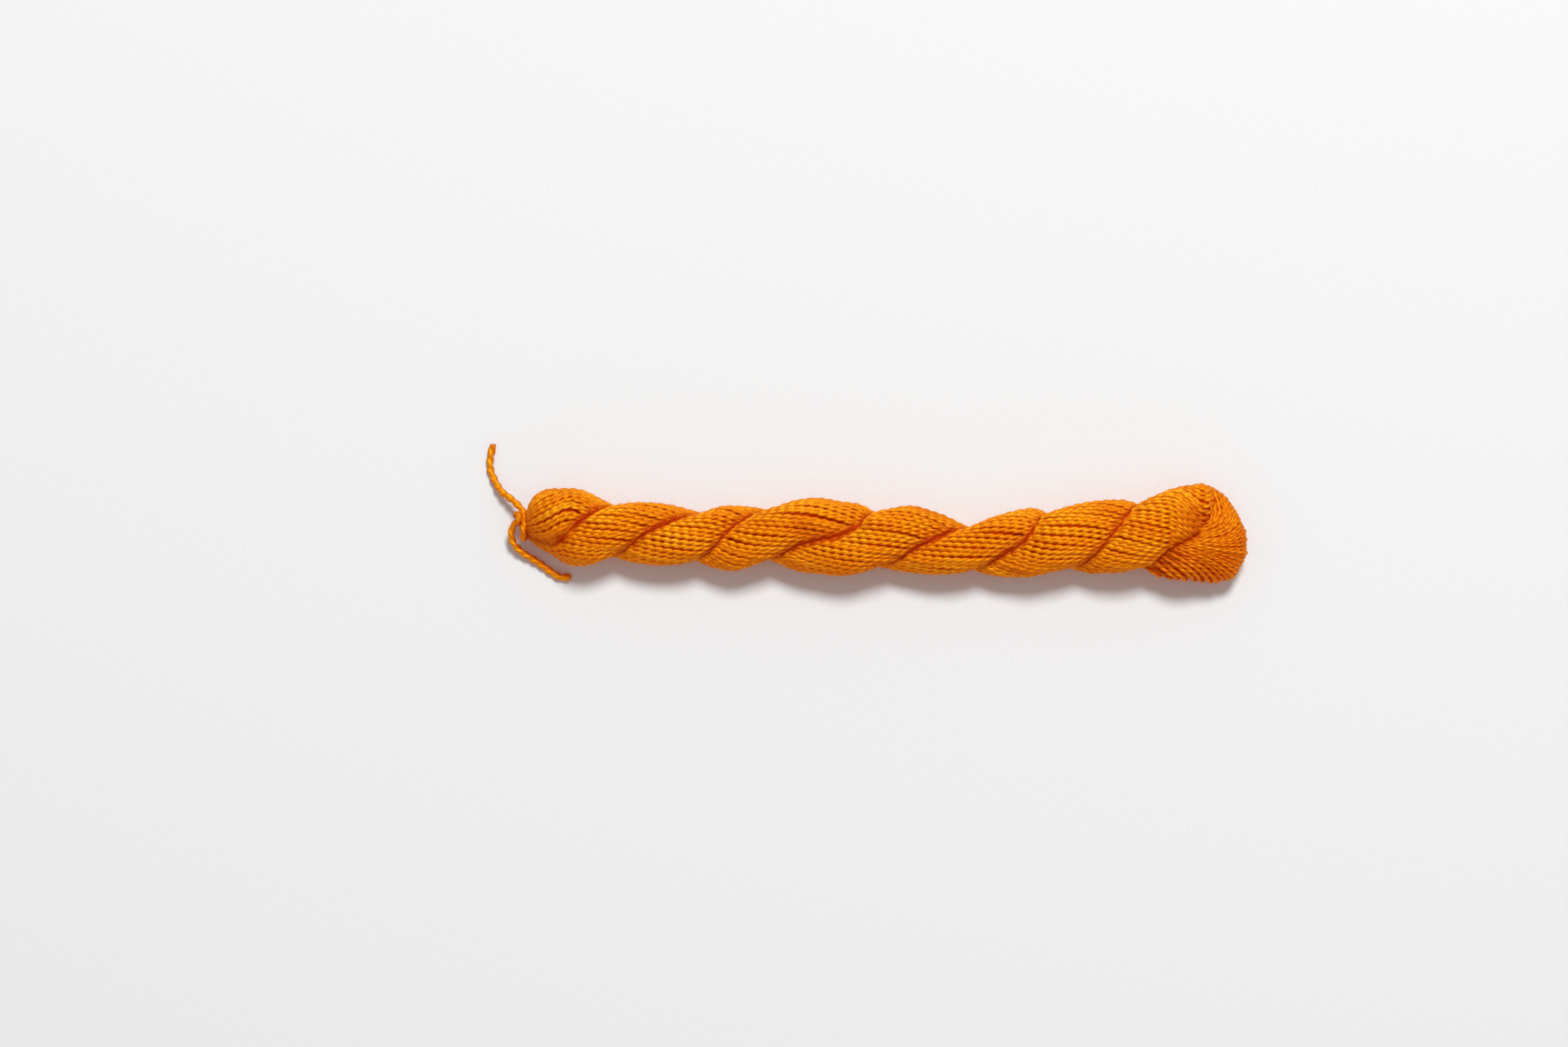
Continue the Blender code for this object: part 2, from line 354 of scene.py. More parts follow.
def read_line(line, run, at):
    """The line's points at the places in at, where run is how far along each of its own points stands."""
    return np.stack([np.interp(at, run, line[:, axis]) for axis in range(3)], axis=1)


def smoothed(line, width):
    """The line with each point moved to the weighted mean of its neighbours."""
    kernel = np.hanning(width)
    kernel = kernel / kernel.sum()
    padded = np.pad(line, ((width // 2, width // 2), (0, 0)), mode="edge")
    return np.stack([np.convolve(padded[:, axis], kernel, mode="valid") for axis in range(3)], axis=1)


def route(points, step):
    """Evenly spaced points on the smooth curve through a route's own points."""
    points = np.asarray(points, float)
    run = run_of(points)
    fine = np.linspace(0.0, run[-1], 400)
    curve = np.stack([flowing(run, points[:, axis], fine) for axis in range(3)], axis=1)
    length = run_of(curve)
    even = np.linspace(0.0, length[-1], max(2, round(length[-1] / step)) + 1)
    return read_line(curve, length, even)


def placed(points):
    """Points of the tables in metres, from the middle of the hank's box."""
    return (np.asarray(points, float) - (*BOX_MIDDLE, 0.0)) * MM


def columns(at):
    """All columns of SECTIONS at the places in at, by name."""
    rows = np.array(SECTIONS).T
    return {name: smooth(rows[0], values, at) for name, values in zip(SECTION_COLUMNS[1:], rows[1:])}


def crease(start, half_turns, first_turn, end, at):
    """The whole angle that a crease has turned to, in degrees, at the places in at."""
    knots = list(start)
    for number, row in enumerate(half_turns):
        turned = first_turn - 360.0 * number
        knots += [(place, turned + angle) for place, angle in zip(row, CREASE_ANGLES)]
    knots += list(end)
    places, angles = np.array(knots).T
    return smooth(places, angles, at)


def creases(at):
    """The even and the odd crease's whole angles at the places in at."""
    return (crease(EVEN_START, EVEN_CREASE, -360.0, EVEN_END, at),
            crease(ODD_START, ODD_CREASE, 0.0, ODD_END, at))


def hull(table, from_middle):
    """A leg's reach from the middle line at the given angle from its own middle, in radians."""
    offset = table["reach"] - table["radius"]
    return offset * np.cos(from_middle) + np.sqrt(table["radius"]**2 - (offset * np.sin(from_middle)) ** 2)


def leg_outline(at, low, high, inset):
    """One leg's closed outline at each place in at, as LEG_SAMPLES points evenly round it from the middle of
    the side that faces the other leg. Gives across, height, the whole length, and the outer arc's length."""
    table = {name: values[:, None] for name, values in columns(at).items()}
    inset = np.minimum(inset, 0.55 * table["radius"])
    share = np.linspace(0.0, 1.0, ARC_POINTS)[None, :]
    turn = np.radians(low[:, None] + (high - low)[:, None] * share)
    out = hull(table, math.pi * (share - 0.5)) - inset
    arc_y = table["across"] + out * np.cos(turn)
    arc_z = table["height"] + out * table["flatness"] * np.sin(turn)
    chord = np.linspace(0.0, 1.0, CHORD_POINTS)[None, :]
    half = CHORD_POINTS // 2
    chord_y = arc_y[:, -1:] + (arc_y[:, :1] - arc_y[:, -1:]) * chord
    chord_z = arc_z[:, -1:] + (arc_z[:, :1] - arc_z[:, -1:]) * chord
    y = np.concatenate([chord_y[:, half:-1], arc_y, chord_y[:, 1:half + 1]], axis=1)
    z = np.concatenate([chord_z[:, half:-1], arc_z, chord_z[:, 1:half + 1]], axis=1)
    steps = np.hypot(np.diff(y, axis=1), np.diff(z, axis=1))
    run = np.concatenate([np.zeros((len(at), 1)), np.cumsum(steps, axis=1)], axis=1)
    girth = run[:, -1]
    arc = run[:, half + ARC_POINTS - 1] - run[:, half]
    even = np.arange(LEG_SAMPLES) / LEG_SAMPLES
    waves = np.fft.rfftfreq(LEG_SAMPLES, 1.0 / LEG_SAMPLES)[None, :]
    width = np.minimum(CORNER_ROUNDING / girth, 0.05)[:, None]
    blur = np.exp(-0.5 * (2 * math.pi * waves * width) ** 2)

    def rounded(values):
        spread = np.stack([np.interp(even * girth[row], run[row], values[row]) for row in range(len(at))])
        return np.fft.irfft(np.fft.rfft(spread, axis=1) * blur, LEG_SAMPLES, axis=1)

    return rounded(y), rounded(z), girth, arc


def ring_faces(index):
    """The four-sided faces between neighbouring rings, from the numbers of each ring's points."""
    following = np.roll(index, -1, axis=-1)
    corners = (index[..., :-1, :], following[..., :-1, :], following[..., 1:, :], index[..., 1:, :])
    return np.stack(corners, axis=-1).reshape(-1, 4)


def new_piece(name, mesh, material):
    """The mesh's object, in the scene, with its material."""
    mesh.materials.append(material)
    piece = bpy.data.objects.new(name, mesh)
    bpy.context.scene.collection.objects.link(piece)
    return piece


class ThreadMesh:
    """Gathers two-ply threads, each along its own path, and makes one piece of them."""

    def __init__(self):
        self.points = []
        self.faces = []
        self.uvs = []
        self.values = {"tone": [], "depth": [], "facing": []}
        self.count = 0

    def add(self, path, outward, run, phase, tone, depth, radius=1.0, splay=1.0, pitch=TWIST_PITCH):
        """A thread through path, in millimetres. outward is each point's direction away from the bundle, run
        its place along the thread, phase the first turn of its twist. tone and depth feed the silk's colour,
        radius scales the thread, and splay the distance between its plies."""
        tangent = unit(np.gradient(path, axis=0))
        outward = unit(outward - tangent * np.sum(outward * tangent, axis=1, keepdims=True))
        side = np.cross(tangent, outward)
        angles = np.radians(SECTION_ANGLES)
        radius = np.broadcast_to(np.asarray(radius, float), run.shape)[:, None]
        offset = PLY_OFFSET * np.broadcast_to(np.asarray(splay, float), run.shape)[:, None]
        rim = offset * np.abs(np.cos(angles)) + np.sqrt(PLY_RADIUS**2 - (offset * np.sin(angles)) ** 2)
        rim = rim * radius
        turned = angles[None, :] + (phase - 2 * math.pi * run / pitch)[:, None]
        rings = (path[:, None, :] + (rim * np.cos(turned))[:, :, None] * outward[:, None, :]
                 + (rim * np.sin(turned))[:, :, None] * side[:, None, :])
        rows, around = rim.shape
        index = self.count + np.arange(rows * around).reshape(rows, around)
        start_hub = self.count + rows * around
        self.points += [rings.reshape(-1, 3), rings[[0, -1]].mean(axis=1)]
        self.add_cap(start_hub, index[0, ::-1], run[0])
        self.add_cap(start_hub + 1, index[-1], run[-1])
        self.faces.append(ring_faces(index))
        share = np.append(np.asarray(SECTION_ANGLES, float) / 360.0, 1.0)
        row, step = np.meshgrid(np.arange(rows - 1), np.arange(around), indexing="ij")
        corners = ((row, step), (row, step + 1), (row + 1, step + 1), (row + 1, step))
        uvs = [np.stack([run[along], share[turn]], axis=-1) for along, turn in corners]
        self.uvs.append(np.stack(uvs, axis=2).reshape(-1, 2))
        depth = np.broadcast_to(np.asarray(depth, float), (rows,))
        self.values["depth"] += [np.repeat(depth, around), depth[[0, -1]]]
        self.values["tone"].append(np.full(rows * around + 2, tone))
        self.values["facing"] += [np.cos(turned).reshape(-1), np.zeros(2)]
        self.count += rows * around + 2

    def add_cap(self, hub, ring, run):
        """The faces that close a thread's end, from the ring round it to the point in its middle."""
        around = len(ring)
        self.faces.append(np.stack([np.full(around, hub), ring, np.roll(ring, -1), np.full(around, -1)], 1))
        self.uvs.append(np.stack([np.full(3 * around, run), np.zeros(3 * around)], 1))

    def build(self, name, material):
        """The piece, in metres at the model's origin, with its uv map and its attributes. A face of three
        corners has -1 for its fourth."""
        points = placed(np.concatenate(self.points))
        faces = np.concatenate(self.faces)
        sizes = np.where(faces[:, 3] < 0, 3, 4)
        starts = np.concatenate([[0], np.cumsum(sizes)[:-1]])
        corners = faces[faces >= 0]
        mesh = bpy.data.meshes.new(name)
        mesh.vertices.add(len(points))
        mesh.vertices.foreach_set("co", points.ravel())
        mesh.loops.add(len(corners))
        mesh.loops.foreach_set("vertex_index", corners.astype(np.int32))
        mesh.polygons.add(len(faces))
        mesh.polygons.foreach_set("loop_start", starts.astype(np.int32))
        mesh.update(calc_edges=True)
        uv = mesh.uv_layers.new(name="thread")
        uv.data.foreach_set("uv", np.concatenate(self.uvs).astype(np.float32).ravel())
        for label, values in self.values.items():
            attribute = mesh.attributes.new(label, "FLOAT", "POINT")
            attribute.data.foreach_set("value", np.concatenate(values).astype(np.float32))
        mesh.validate()
        mesh.shade_smooth()
        return new_piece(name, mesh, material)


class Leg:
    """One leg of the hank between its creases at low and high, and how its threads lie on its outer side.
    folds_over is true for the leg whose threads come up at the last crease and go on over the fold."""

    def __init__(self, at, low, high, slope, folds_over):
        self.at = at
        self.folds_over = folds_over
        self.table = columns(at)
        self.y, self.z, self.girth, self.arc = leg_outline(at, low, high, THREAD_RADIUS)
        self.normal_y = np.roll(self.z, -1, axis=1) - np.roll(self.z, 1, axis=1)
        self.normal_z = np.roll(self.y, 1, axis=1) - np.roll(self.y, -1, axis=1)
        self.drift = self.thread_drift(np.radians((low + high) / 2), slope)
        self.whole = THREADS_PER_LEG * THREAD_SPACING
        gather = np.clip(self.arc / np.interp(GATHER_START, at, self.arc), 0.04, 1.0)
        self.gather = np.where(at < GATHER_START, gather, 1.0)
        self.stretch = np.maximum(1.0, (self.arc + 2.0) / self.whole) * self.gather
        turning = ease((at - TURN_START) / 4.0) * (0.0 if folds_over else 1.0)
        full = np.clip(self.arc / HUG_FULL_ARC, 0.05, 1.0)
        self.hug = np.maximum(HUG_WIDTH * full * (1 - 0.9 * turning), 0.05)
        self.plunge = PLUNGE * turning
        self.free = self.arc / 2 - self.hug
        self.near_tie = ease((NEAR_TIE - at) / 6.0)

    def thread_drift(self, middle, slope):
        """How far the threads have drifted round the leg at each place, as its middle turns under them."""
        sideways = np.interp(self.at, *np.array(slope).T)
        level = ((self.table["reach"] - DRIFT_DEPTH) * -np.gradient(middle, self.at)
                 + np.gradient(self.table["across"], self.at))
        speed = level + sideways
        from_tie = self.at - DRIFT_START
        speed = speed * ease(from_tie / 14.0) - TIED_RISE * (1 - ease(from_tie / 8.0))
        return np.concatenate([[0.0], np.cumsum((speed[1:] + speed[:-1]) / 2 * np.diff(self.at))])

    def read(self, values, spot):
        """The outline's values at spot, a place round it in samples, for each place along."""
        grid = np.arange(len(self.at))
        first = np.floor(spot).astype(int) % LEG_SAMPLES
        second = (first + 1) % LEG_SAMPLES
        part = spot - np.floor(spot)
        return values[grid, first] * (1 - part) + values[grid, second] * part

    def thread(self, number, rng):
        """A thread's place round the leg, from the middle of its outer side, its path and its outward
        direction."""
        wander = sum(far * noise_line(rng, self.at, wave) for far, wave in STRAYING)
        place = number * THREAD_SPACING + self.drift + wander
        place = np.mod(place + self.whole / 2, self.whole) - self.whole / 2
        place = place * self.stretch
        beyond = np.maximum(np.abs(place) - self.free, 0.0)
        kept = 1.4 * self.hug * (1 - np.exp(-beyond / (1.4 * self.hug)))
        eased = np.sign(place) * (np.minimum(np.abs(place), self.free) + kept)
        lift = LIFTING[0] * noise_line(rng, self.at, LIFTING[1]) + MEAN_LIFT
        under = 0.9 * (number % 2) * ease((0.75 - self.gather) / 0.5)
        sunk = HUG_SINK * (1 - 0.8 * self.near_tie) * np.maximum(beyond - 0.35 * self.hug, 0.0)
        spot = np.mod((self.girth / 2 + eased) / self.girth, 1.0) * LEG_SAMPLES
        sides = [0 * self.at, self.read(self.normal_y, spot), self.read(self.normal_z, spot)]
        normal = unit(np.stack(sides, axis=1))
        path = np.stack([self.at, self.read(self.y, spot), self.read(self.z, spot)], axis=1)
        path = path + normal * (lift * self.gather - under - sunk)[:, None]
        path[:, 2] = np.maximum(path[:, 2], FLOOR_CLEARANCE)
        return place, path, normal

    def shown(self, place, path):
        """Where a thread shows: on the leg's outer side, and a little way into the crease beside it."""
        shown = np.abs(place) < self.free + HUG_REACH * self.hug + self.plunge
        if self.folds_over:
            on_top = path[:, 2] > self.table["height"] - 2.0
            shown &= ~(on_top & (self.at > FOLD_TOP)) & (self.at < FOLD_UNDER)
        else:
            above = path[:, 2] > self.table["height"] - 4.5
            shown &= (self.at < TURN_END) & (above | (self.at < FOLD_UNDER))
        shown[1:] &= np.abs(np.diff(place)) < 4.0
        return shown

    def shade(self, place, path):
        """How much painted shade a thread takes: most at the creases, a little near the tie and at
        SHADED_SPOTS.
        """
        shade = 0.0
        for (amount, fade), left in ((DIVE_SHADE, self.arc / 2 - place), (RISE_SHADE, self.arc / 2 + place)):
            shade = shade + amount * np.exp(-np.maximum(left, 0.0) / fade)
        shade = shade * (1 - 0.5 * self.near_tie)
        shade = shade * (0.35 + 0.65 * np.clip((path[:, 2] - 0.8 * self.table["height"]) / 5.0, 0, 1))
        # Painted shade where the threads gather to the tie.
        shade = shade + 0.5 * (1 - self.gather) + 0.12 * self.near_tie
        for along, across, half_length, half_width, amount in SHADED_SPOTS:
            away = ((self.at - along) / half_length) ** 2 + ((path[:, 1] - across) / half_width) ** 2
            shade = shade + amount * np.exp(-away)
        return shade

    def turned_down(self, line, run):
        """The line with its far end sunk under the fold's threads, or bent down into the last crease."""
        line = line.copy()
        to_end = run[-1] - run
        if self.folds_over and abs(line[-1, 0] - FOLD_TOP) < 1.0:
            line[:, 2] -= TUCK_DEPTH * ease(1 - to_end / TUCK_LENGTH)
        if not self.folds_over and line[-1, 0] > TURN_START + 3.0 and line[-1, 2] > 4.0:
            bent = np.clip(1 - to_end / KNUCKLE_RADIUS, 0, 1)
            line[:, 2] -= KNUCKLE_RADIUS * (1 - np.sqrt(1 - bent**2))
        return line


def leg_threads(name, leg, seed, material):
    """A leg's outer threads in the runs where they show, as two pieces, left and right of the middle."""
    meshes = (ThreadMesh(), ThreadMesh())
    rng = np.random.default_rng(seed)
    size = np.clip(leg.stretch ** 0.7, 0.40, 1.22)
    for number in range(THREADS_PER_LEG):
        place, path, normal = leg.thread(number, rng)
        phase = rng.uniform(0, 2 * math.pi)
        tone = rng.uniform(0, 1)
        shade = leg.shade(place, path)
        changes = np.diff(np.concatenate([[0], leg.shown(place, path).astype(int), [0]]))
        edges = np.flatnonzero(changes)
        for begin, end in zip(edges[::2], edges[1::2]):
            if end - begin < 6:
                continue
            here = slice(begin, end)
            run = run_of(path[here])
            even = np.linspace(0, run[-1], max(3, round(run[-1] / SECTION_LENGTH)))
            line = read_line(leg.turned_down(path[here], run), run, even)
            outward = read_line(normal[here], run, even)
            radius = np.interp(even, run, size[here])
            line[:, 2] = np.maximum(line[:, 2], FLOOR_CLEARANCE * radius)
            mesh = meshes[int(line[len(line) // 2, 0] > 0.0)]
            mesh.add(line, outward, even, phase, tone, np.interp(even, run, shade[here]), radius)
    for number, mesh in enumerate(meshes):
        dress_hank(mesh.build(f"{name}_{number + 1}", material))


class FoldForm:
    """The fold's outline and surfaces, for the middle lines of its threads."""

    def __init__(self):
        self.at = np.arange(FOLD_START, FOLD_END, FOLD_STEP)
        even, odd = creases(self.at)
        self.table = columns(self.at)
        self.low, self.high = np.radians(odd + 1080.0), np.radians(even + 360.0 + 1080.0)
        self.half_width = np.maximum(self.table["reach"] - THREAD_RADIUS, 0.3)

    def read(self, values, x):
        """A column's value at the place x along."""
        return np.interp(x, self.at, values)

    def outwards(self, x, y):
        """How far y lies from the middle line at x, as a share of the half width there."""
        return np.abs(y - self.read(self.table["across"], x)) / self.read(self.half_width, x)

    def middle(self, x):
        """The middle line's points at the places x, which stop short of the tip."""
        return np.column_stack([np.minimum(x, 97.0), self.read(self.table["across"], x),
                                self.read(self.table["height"], x)])

    def top(self, x, y):
        """The upper surface's height over points in plan, from the turn round the middle line at each."""
        here = {name: self.read(values, x) for name, values in self.table.items()}
        first, last = self.read(self.low, x), self.read(self.high, x)
        turn = np.full(len(x), math.pi / 2)
        for _ in range(14):
            share = np.clip((turn - first) / (last - first), 0, 1)
            out = np.maximum(hull(here, math.pi * (share - 0.5)) - THREAD_RADIUS, 0.3)
            turn = np.arccos(np.clip((y - here["across"]) / out, -1, 1)) * 0.5 + turn * 0.5
        return here["height"] + out * here["flatness"] * np.sin(turn)

    def underside(self, x, y):
        """The under surface's height over points in plan."""
        wide = self.read(self.half_width, x)
        rise = np.sqrt(np.clip(1 - ((y - self.read(self.table["across"], x)) / wide) ** 2, 0, 1))
        return self.read(self.table["height"], x) - rise * wide * self.read(self.table["flatness"], x)

    def over(self, start, mid, end):
        """A thread's way over the fold in plan, through three places and on to the outline."""
        onward = end + (end - mid) * 0.5
        plan = route([(*place, 0.0) for place in (start, mid, end, onward)], 0.15)[:, :2]
        x, y = plan.T
        inside = np.abs(y - self.read(self.table["across"], x)) < self.read(self.half_width, x)
        inside &= x < TIP_END
        last = np.argmax(~inside) if (~inside).any() else len(plan)
        return plan[:last]

    def back(self, plan, home):
        """The way on from a thread's way over to its home on the underside, as the outline mirrors it."""
        edge = plan[-1]
        step = 0.3
        x, y = edge
        across = np.sign(y - self.read(self.table["across"], x)) * 2 * step / self.read(self.half_width, x)
        outward = unit(np.array([self.outwards(x + step, y) - self.outwards(x - step, y), across]))
        if x > TIP_END - 0.4:
            outward = np.array([1.0, 0.0])
        heading = unit(edge - plan[-4])
        heading = heading - 2 * max(heading @ outward, 0.15) * outward
        reach = np.linalg.norm(home - edge)
        t = np.linspace(0, 1, max(12, round(reach / 0.15)))[:, None]
        leaving = edge + unit(heading) * reach * 0.33
        coming = home + np.array([reach * 0.3, 0])
        return ((1 - t) ** 3 * edge + 3 * (1 - t) ** 2 * t * leaving
                + 3 * (1 - t) * t**2 * coming + t**3 * home)


def guide_spacing(guides):
    """How far apart the fold's guides stand, added up in threads, and the share of their widest distance
    that they stand apart at the crease, on the way, and at the outline."""
    crease_end, way, outline = guides[:, :2], guides[:, 2:4], guides[:, 4:]
    headings = (unit(way - crease_end), unit(outline - crease_end), unit(outline - way))
    apart = np.stack([np.abs(plan_cross(np.diff(places, axis=0), heading[1:]))
                      for places, heading in zip((crease_end, way, outline), headings)])
    widest = apart.max(axis=0)
    return np.concatenate([[0.0], np.cumsum(widest)]) / FOLD_SPACING, apart / widest


def fold_threads(seed, material):
    """The threads that come up at the last crease, cross the fold, and go round to the underside."""
    form = FoldForm()
    mesh = ThreadMesh()
    rng = np.random.default_rng(seed)
    guides = np.array(FOLD_GUIDES)
    rows = np.arange(len(guides))
    threads, shares = guide_spacing(guides)
    outer = np.linspace(0, threads[-1], math.ceil(threads[-1]) + 1)
    layers = np.concatenate([outer, (outer[1:] + outer[:-1]) / 2])
    for number, place in enumerate(np.interp(layers, threads, rows)):
        inner = number >= len(outer)
        second = number % 2
        start, mid, end = np.array([np.interp(place, rows, column) for column in guides.T]).reshape(3, 2)
        mid = mid + rng.uniform(-0.25, 0.25, 2)
        start = start + np.array(FOLD_TUCK)
        home = np.array([FOLD_UNDER - 2.5, np.interp(place, [0, rows[-1]], [11.5, -12.5])])
        plan = form.over(start, mid, end)
        back = form.back(plan, home)
        line = np.concatenate([np.column_stack([plan, form.top(*plan.T)]),
                               np.column_stack([back, form.underside(*back.T)])[1:]])
        first_half, second_half = np.linalg.norm(mid - start), np.linalg.norm(end - mid)
        marks = [0.0, first_half, first_half + second_half, first_half + second_half + 6.0]
        room = [np.interp(place, (rows[1:] + rows[:-1]) / 2, share) for share in shares] + [1.0]
        run = run_of(line)
        tucked = (1.4 + 1.4 * second) * (1 - ease(run / (4.0 + 5.0 * second)))
        line[:, 2] -= tucked + 0.7 * second * (1 - np.interp(run, marks, room)) * ease(run / 3.0)
        line[:, 0] = np.minimum(line[:, 0], TIP_END + 0.2)
        line[:, 2] = np.maximum(line[:, 2], FLOOR_CLEARANCE)
        run = run_of(line)
        line = smoothed(read_line(line, run, np.arange(0, run[-1], 0.12)), 15)
        middle = form.middle(line[:, 0])
        proud = rng.uniform(-0.30, 0.35) * ease(run_of(line) / 12.0) - (INNER_DEPTH if inner else 0.0)
        line = line + unit(line - middle) * proud[:, None]
        line[:, 2] = np.maximum(line[:, 2], FLOOR_CLEARANCE)
        run = run_of(line)
        even = np.linspace(0, run[-1], round(run[-1] / SECTION_LENGTH))
        # Painted shade: a little over the whole fold, most where a thread comes up from the crease, and more
        # on the inner layer.
        shade = 0.08 + 0.9 * np.exp(-even / (2.4 + 1.6 * second)) + (0.25 if inner else 0.0)
        radius = np.interp(even, marks, room).clip(0.74, 1.0)
        outward = unit(read_line(line - middle, run, even))
        phase = rng.uniform(0, 6.28)
        # The fold's tones lie lower than the legs': painted shade over the fold, which slopes away from the
        # light.
        tone = rng.uniform(-0.8, 0.2)
        mesh.add(read_line(line, run, even), outward, even, phase, tone, shade, radius)
    dress_hank(mesh.build("fold_threads", material))


def loose_fibres(seed, material):
    """Fine fibres that stand off the hank, each a closed three-sided tube with a thin tip."""
    count = LOOSE_FIBRES
    rng = np.random.default_rng(seed)
    at = rng.uniform(-103.5, 104.0, count)
    turn = rng.normal(0.0, 34.0, count) + 180.0 * (rng.uniform(0, 1, count) > 0.5)
    even, odd = creases(at)
    turn = odd + np.mod(turn - odd, 360.0)
    on_leg_b = turn > even + 360.0
    share = np.where(on_leg_b, (turn - even - 360.0) / (odd - even), (turn - odd) / (even + 360.0 - odd))
    table = columns(at)
    out = hull(table, math.pi * (share - 0.5)) - 0.5
    cosine, sine = np.cos(np.radians(turn)), np.sin(np.radians(turn))
    height = table["height"] + out * table["flatness"] * sine
    start = np.stack([at, table["across"] + out * cosine, height], axis=1)
    outward = unit(np.stack([rng.normal(0, 0.25, count), cosine, sine], 1))
    heading = unit(outward * rng.uniform(0.25, 1.0, (count, 1)) + rng.normal(0, 0.55, (count, 3)))
    bend = unit(rng.normal(0, 1, (count, 3))) * rng.uniform(0.15, 0.60, (count, 1))
    length = rng.uniform(0.4, 1.2, count) + 1.3 * rng.uniform(0, 1, count) ** 8
    run = np.linspace(0, 1, FIBRE_RINGS)[None, :, None] * length[:, None, None]
    lines = start[:, None, :] + heading[:, None, :] * run + bend[:, None, :] * run**2
    lines[:, :, 2] = np.maximum(lines[:, :, 2], 0.15)
    radii = np.linspace(FIBRE_RADIUS, 0.35 * FIBRE_RADIUS, FIBRE_RINGS)
    return tubes("loose_fibres", lines, radii, material)


def tubes(name, lines, radii, material):
    """Closed three-sided tubes, one along each line of points in lines, with a radius for each ring."""
    count, rings = lines.shape[:2]
    tangent = unit(np.gradient(lines, axis=1))
    side = unit(np.cross(tangent, np.array([0.31, 0.22, 0.92])))
    other = np.cross(tangent, side)
    corners = np.radians([0, 120, 240])[:, None]
    spokes = np.cos(corners) * side[:, :, None, :] + np.sin(corners) * other[:, :, None, :]
    points = lines[:, :, None, :] + radii[None, :, None, None] * spokes
    index = np.arange(count * rings * 3).reshape(count, rings, 3)
    faces = ring_faces(index).tolist() + index[:, 0, ::-1].tolist() + index[:, -1].tolist()
    mesh = bpy.data.meshes.new(name)
    mesh.from_pydata(placed(points.reshape(-1, 3)).tolist(), [], faces)
    return new_piece(name, mesh, material)


def core(material):
    """Both legs' inner body, as one closed form a little inside the threads, notched along the creases."""
    at = np.linspace(*CORE_SPAN, CORE_SECTIONS)
    even, odd = creases(at)
    table = columns(at)
    inset = np.minimum(CORE_INSET, 0.6 * table["radius"])
    notch = CORE_NOTCH * np.minimum(1, table["radius"] / 7.2) * (1 - 0.8 * ease((at - 80.0) / 6.0))
    points = []
    for low, high in ((even, odd), (odd, even + 360.0)):
        for step in range(CORE_STEPS):
            share = step / CORE_STEPS
            turn = np.radians(low + (high - low) * share)
            from_middle = 180.0 * abs(share - 0.5)
            out = hull(table, math.radians(from_middle)) - inset
            out = out - notch * math.exp((from_middle - 90.0) / 20.0)
            out = np.maximum(out, 0.2 * table["radius"])
            across = table["across"] + out * np.cos(turn)
            height = np.maximum(table["height"] + out * table["flatness"] * np.sin(turn), 1.2)
            points.append(np.stack([at, across, height], axis=1))
    rings = np.stack(points, axis=1)
    index = np.arange(rings.shape[0] * rings.shape[1]).reshape(rings.shape[:2])
    mesh = bpy.data.meshes.new("hank_core")
    faces = ring_faces(index).tolist() + [index[0][::-1].tolist(), index[-1].tolist()]
    mesh.from_pydata(placed(rings.reshape(-1, 3)).tolist(), [], faces)
    mesh.shade_smooth()
    return new_piece("hank_core", mesh, material)


class Socket:
    """A node's output, with arithmetic that adds Math nodes."""

    def __init__(self, look, link):
        self.look = look
        self.link = link

    def math(self, operation, other, swap=False):
        """This output and another, or a number, through a Math node."""
        first, second = (other, self) if swap else (self, other)
        return self.look.node("ShaderNodeMath", {"operation": operation}, _0=first, _1=second)

    def __add__(self, other):
        return self.math("ADD", other)

    def __radd__(self, other):
        return self.math("ADD", other, True)

    def __sub__(self, other):
        return self.math("SUBTRACT", other)

    def __rsub__(self, other):
        return self.math("SUBTRACT", other, True)

    def __mul__(self, other):
        return self.math("MULTIPLY", other)

    def __rmul__(self, other):
        return self.math("MULTIPLY", other, True)


class Finish:
    """One material and the nodes behind its shader."""

    def __init__(self, name):
        self.material = bpy.data.materials.new(name)
        self.material.use_nodes = True
        self.tree = self.material.node_tree
        self.shader = self.tree.nodes["Principled BSDF"]

    def feed(self, socket, value):
        """Gives an input a link, a number, or a colour of three."""
        if isinstance(value, Socket):
            self.tree.links.new(value.link, socket)
        else:
            socket.default_value = (*value, 1.0) if socket.type == "RGBA" else value

    def node(self, kind, settings=(), output=0, **values):
        """A node of this type. settings are its own properties, or a ramp's stops. values are its inputs',
        by name with _ for a space, or by number after a _."""
        node = self.tree.nodes.new(kind)
        for name, value in dict(settings).items():
            if name == "stops":
                self.set_stops(node.color_ramp, value)
            else:
                setattr(node, name, value)
        for name, value in values.items():
            key = int(name[1:]) if name.startswith("_") else name.replace("_", " ")
            self.feed(node.inputs[key], value)
        return Socket(self, node.outputs[output])

    def set_stops(self, ramp, stops):
        """Puts a ramp's stops in it, each its place and its colour."""
        for element, (place, colour) in zip(ramp.elements, (stops[0], stops[-1])):
            element.position = place
            element.color = (*colour, 1.0)
        for place, colour in stops[1:-1]:
            ramp.elements.new(place).color = (*colour, 1.0)

    def noise(self, place, scale, detail, roughness=0.5):
        """Noise over a place."""
        return self.node("ShaderNodeTexNoise", Vector=place, Scale=scale, Detail=detail, Roughness=roughness)

    def ramp(self, factor, *stops):
        """A colour from a number, through (place, colour) stops."""
        return self.node("ShaderNodeValToRGB", {"stops": stops}, _0=factor)

    def mix(self, factor, first, second):
        """Two colours mixed by factor."""
        return self.node("ShaderNodeMix", {"data_type": "RGBA"}, 2, _0=factor, _6=first, _7=second)

    def spread(self, value, low, high, first, last):
        """A value from low to high made one from first to last."""
        return self.node("ShaderNodeMapRange", Value=value, From_Min=low, From_Max=high,
                         To_Min=first, To_Max=last)

    def attribute(self, name):
        """A number that the mesh holds at each of its points."""
        return self.node("ShaderNodeAttribute", {"attribute_name": name}, 2)

    def set(self, **values):
        """Shader inputs by name, with _ for a space."""
        for name, value in values.items():
            self.feed(self.shader.inputs[name.replace("_", " ")], value)


